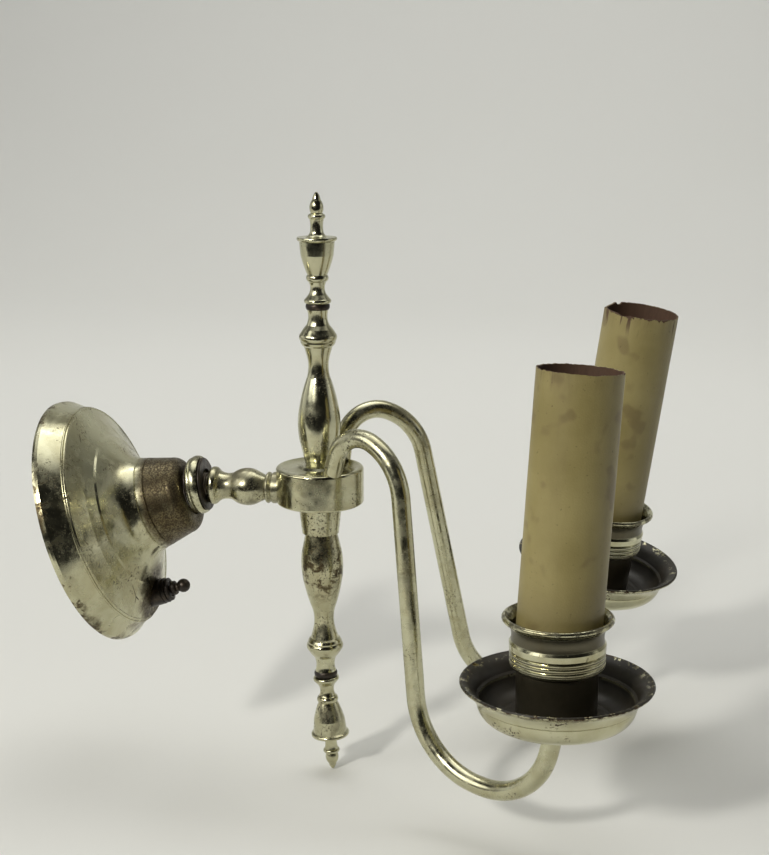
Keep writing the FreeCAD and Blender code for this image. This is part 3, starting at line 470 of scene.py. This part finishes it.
def paper_sleeve(side, notches, seed, finish):
    """Rolled paper tube with a slightly soft wall and a chipped, ragged top edge.

    notches: (angle in degrees, half width in degrees, depth in metres)."""
    base, axis = holder_frame(side)
    around = 180
    rows = [0, 0.0004, 0.004, 0.02, 0.04, 0.06, 0.08, 0.09, 0.095, 0.098, 0.0995, 0.1006, 0.1012, 0.1016]

    def top_drop(angle):
        drop = 0.00018 * (1 + noise.noise(Vector((math.cos(angle) * 9, math.sin(angle) * 9, seed))))
        drop += 0.00022 * max(0, noise.noise(Vector((math.cos(angle) * 31, math.sin(angle) * 31, seed))))
        for middle, half, depth in notches:
            away = abs((math.degrees(angle) - middle + 180) % 360 - 180) / half
            if away < 1:
                ragged = 0.75 + 0.5 * noise.noise(Vector((away * 7, middle, seed)))
                drop += depth * (1 - away * away) ** 0.6 * ragged
        return drop

    mesh = bmesh.new()
    rings = []
    for shell in ("outer", "inner"):
        for row in rows if shell == "outer" else reversed(rows):
            ring = []
            for k in range(around):
                angle = 2 * math.pi * k / around
                wave = Vector((math.cos(angle) * 2, math.sin(angle) * 2, row * 60 + seed))
                soft = 0.00006 * noise.noise(wave)
                inset = PAPER_THICKNESS if shell == "inner" else 0
                radius = SLEEVE_R - PAPER_UNDERSIZE + soft - inset
                share = max(0, (row - CHIP_START) / (SLEEVE_LENGTH - CHIP_START))
                z = row - top_drop(angle) * share ** 1.5
                if shell == "inner" and row == rows[-1]:
                    z -= 0.0001
                ring.append(mesh.verts.new((radius * math.cos(angle), radius * math.sin(angle), z)))
            rings.append(ring)
    for low, high in zip(rings, rings[1:] + rings[:1]):
        for k in range(around):
            mesh.faces.new((low[k], low[(k + 1) % around], high[(k + 1) % around], high[k]))
    bmesh.ops.recalc_face_normals(mesh, faces=mesh.faces)
    data = bpy.data.meshes.new(side + "_paper_sleeve")
    mesh.to_mesh(data)
    mesh.free()
    for face in data.polygons:
        face.use_smooth = True
    data.set_sharp_from_angle(angle=math.radians(50))
    sleeve = bpy.data.objects.new(side + "_paper_sleeve", data)
    bpy.context.collection.objects.link(sleeve)
    data.materials.append(finish)
    turned = Vector((0, 0, 1)).rotation_difference(axis).to_matrix().to_4x4()
    sleeve.matrix_world = Matrix.Translation(base) @ turned
    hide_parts(side + "_sleeve")
    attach(sleeve, side + "_sleeve_body")


paper_sleeve("left", [(200, 10, 0.0004), (120, 7, 0.0005), (300, 12, 0.0003)], 3,
             sleeve_material("sleeve_left", 0.0030, 0.25, 3.0))
paper_sleeve("right", [(75, 24, 0.0016), (150, 9, 0.0008), (40, 6, 0.0012), (250, 12, 0.0005)], 11,
             sleeve_material("sleeve_right", 0.0080, 0.9, 7.0))


# ---------------------------------------------------------------- floor, light and camera

def cyclorama():
    """Floor that sweeps up into a back wall behind the sconce."""
    floor_z = CAD_BOUNDS[0][2] - FLOOR_GAP
    profile = [(FLOOR_FRONT, floor_z), (SWEEP_START, floor_z)]
    for k in range(1, SWEEP_STEPS + 1):
        turn = math.radians(90 * k / SWEEP_STEPS)
        profile.append((SWEEP_START + SWEEP_RADIUS * math.sin(turn),
                        floor_z + SWEEP_RADIUS * (1 - math.cos(turn))))
    profile.append((SWEEP_START + SWEEP_RADIUS, floor_z + SWEEP_RADIUS + WALL_HEIGHT))
    verts = [(x, y, z) for y in (-FLOOR_HALF_WIDTH, FLOOR_HALF_WIDTH) for x, z in profile]
    count = len(profile)
    faces = [(k, k + 1, count + k + 1, count + k) for k in range(count - 1)]
    data = bpy.data.meshes.new("studio_floor")
    data.from_pydata(verts, [], faces)
    for face in data.polygons:
        face.use_smooth = True
    floor = bpy.data.objects.new("studio_floor", data)
    bpy.context.collection.objects.link(floor)
    g = Graph("studio_paper")
    shade = g.mix(g.noise(3, 2), (0.78, 0.78, 0.745), (0.80, 0.80, 0.77))
    data.materials.append(g.finish(shade, 0.85, 0.0))


def area_light(name, position, target, size, power, colour):
    """Square lamp at a position, turned to a target."""
    lamp = bpy.data.lights.new(name, "AREA")
    lamp.energy = power
    lamp.color = colour
    lamp.size = size
    holder = bpy.data.objects.new(name, lamp)
    bpy.context.collection.objects.link(holder)
    holder.location = position
    holder.rotation_euler = (Vector(target) - Vector(position)).to_track_quat("-Z", "Y").to_euler()


def studio_world():
    """Light tent seen in the plate: bright upper left, dark room behind the camera."""
    world = bpy.data.worlds.new("studio")
    bpy.context.scene.world = world
    world.use_nodes = True
    tree = world.node_tree
    tree.nodes.clear()
    out = tree.nodes.new("ShaderNodeOutputWorld")
    back = tree.nodes.new("ShaderNodeBackground")
    tree.links.new(back.outputs[0], out.inputs[0])
    coords = tree.nodes.new("ShaderNodeTexCoord")

    def lobe(direction, low, high, value):
        dot = tree.nodes.new("ShaderNodeVectorMath")
        dot.operation = "DOT_PRODUCT"
        tree.links.new(coords.outputs["Generated"], dot.inputs[0])
        dot.inputs[1].default_value = Vector(direction).normalized()
        ramp = tree.nodes.new("ShaderNodeMapRange")
        ramp.interpolation_type = "SMOOTHSTEP"
        tree.links.new(dot.outputs["Value"], ramp.inputs["Value"])
        ramp.inputs["From Min"].default_value = low
        ramp.inputs["From Max"].default_value = high
        ramp.inputs["To Max"].default_value = value
        return ramp.outputs[0]

    def add(a, b):
        made = tree.nodes.new("ShaderNodeMath")
        made.operation = "ADD"
        tree.links.new(a, made.inputs[0])
        if isinstance(b, float):
            made.inputs[1].default_value = b
        else:
            tree.links.new(b, made.inputs[1])
        return made.outputs[0]

    total = add(lobe((-0.50, 0.70, 0.50), 0.93, 0.975, 2.4), lobe((0.45, 0.0, 1.0), 0.74, 0.94, 1.15))
    total = add(total, lobe((1.0, 0.0, 0.0), 0.02, 0.40, 0.40))
    total = add(total, lobe((0.15, -1.0, 0.10), 0.90, 0.98, 0.5))
    total = add(total, lobe((0.15, 1.0, 0.05), 0.86, 0.96, 0.6))
    total = add(total, 0.012)
    tint = tree.nodes.new("ShaderNodeVectorMath")
    tint.operation = "SCALE"
    tint.inputs[0].default_value = (1.0, 0.995, 0.955)
    tree.links.new(total, tint.inputs["Scale"])
    path = tree.nodes.new("ShaderNodeLightPath")
    mix = tree.nodes.new("ShaderNodeMix")
    mix.data_type = "RGBA"
    tree.links.new(path.outputs["Is Camera Ray"], mix.inputs["Factor"])
    tree.links.new(tint.outputs[0], mix.inputs[6])
    mix.inputs[7].default_value = (0.68, 0.68, 0.65, 1)
    tree.links.new(mix.outputs[2], back.inputs["Color"])


cyclorama()
studio_world()
FOCUS = Vector((0, -0.11, -0.02))
KEY_PLACE = FOCUS + Vector((-0.75, 0.39, 0.53)).normalized() * LAMP_DISTANCE
TOP_PLACE = FOCUS + Vector((0.1, 0.2, 1.6))
BACK_PLACE = FOCUS + Vector((0.7, 0.1, 1.7))
BACK_TARGET = FOCUS + Vector((2.4, 0, 0.8))
area_light("key", KEY_PLACE, FOCUS, 0.15, 10.8, (1.0, 0.98, 0.92))
area_light("top_fill", TOP_PLACE, FOCUS, 1.4, 2.6, (1.0, 0.995, 0.97))
area_light("back_fill", BACK_PLACE, BACK_TARGET, 1.6, 17.0, (1.0, 1.0, 0.98))

camera = bpy.data.cameras.new("camera")
camera.sensor_width = 36
camera.lens = 63.16
camera.clip_start = 0.01
eye = bpy.data.objects.new("camera", camera)
bpy.context.collection.objects.link(eye)
RIGHT = Vector((0.15543, -0.98784, -0.00292))
DOWN = Vector((-0.21860, -0.03151, -0.97531))
AHEAD = Vector((0.96336, 0.15223, -0.22084))
turn = Matrix((RIGHT, -DOWN, -AHEAD)).transposed()
eye.matrix_world = Matrix.Translation((-0.58694, -0.22127, 0.16157)) @ turn.to_4x4()
bpy.context.scene.camera = eye
bpy.context.scene.view_settings.view_transform = "Standard"
bpy.context.scene.view_settings.look = "None"
